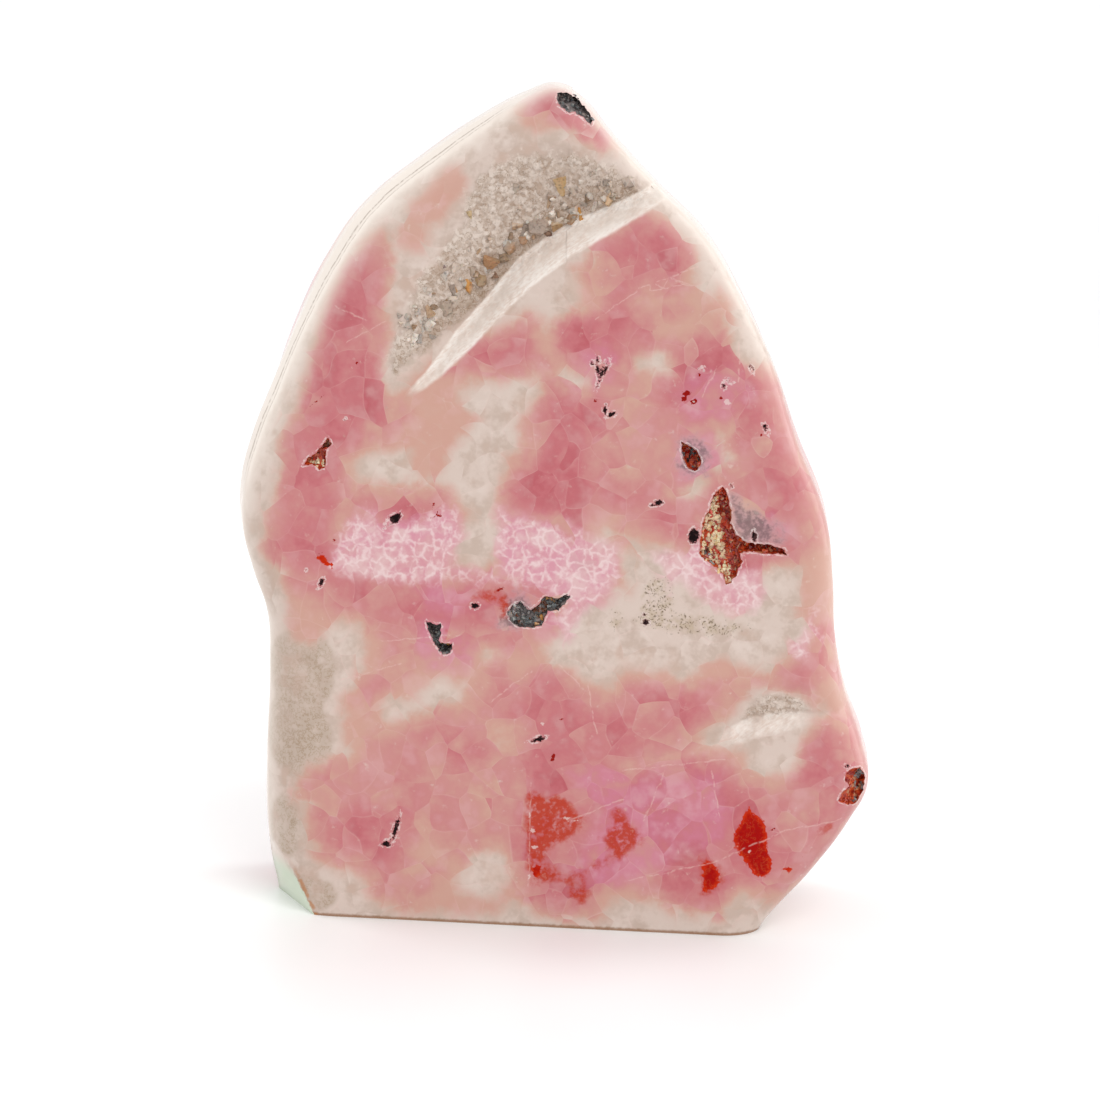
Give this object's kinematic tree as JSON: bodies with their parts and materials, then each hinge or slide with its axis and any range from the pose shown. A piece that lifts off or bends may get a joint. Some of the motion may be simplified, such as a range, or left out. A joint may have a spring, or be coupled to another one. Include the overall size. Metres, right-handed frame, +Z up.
{
  "type": "polished aragonite freeform",
  "caption": "Upright polished slab of pink and cream aragonite with a pointed top, a stepped grainy ledge, small crystal-lined pits and a flat cut base.",
  "frame": {"origin": "middle of the cut base, at the surface the stone stands on", "axes": "+Z up to the tip, front face towards -Y, +X to the right of the front face"},
  "size_m": [0.1155, 0.0458, 0.15],
  "materials": {
    "polished_aragonite": "polished, translucent, pink and cream",
    "pit_crystals": "rough cream and rust-red crystals"
  },
  "bodies": {
    "root": {"stone": "polished_aragonite", "large_pit_crystals": "pit_crystals"}
  },
  "joints": []
}
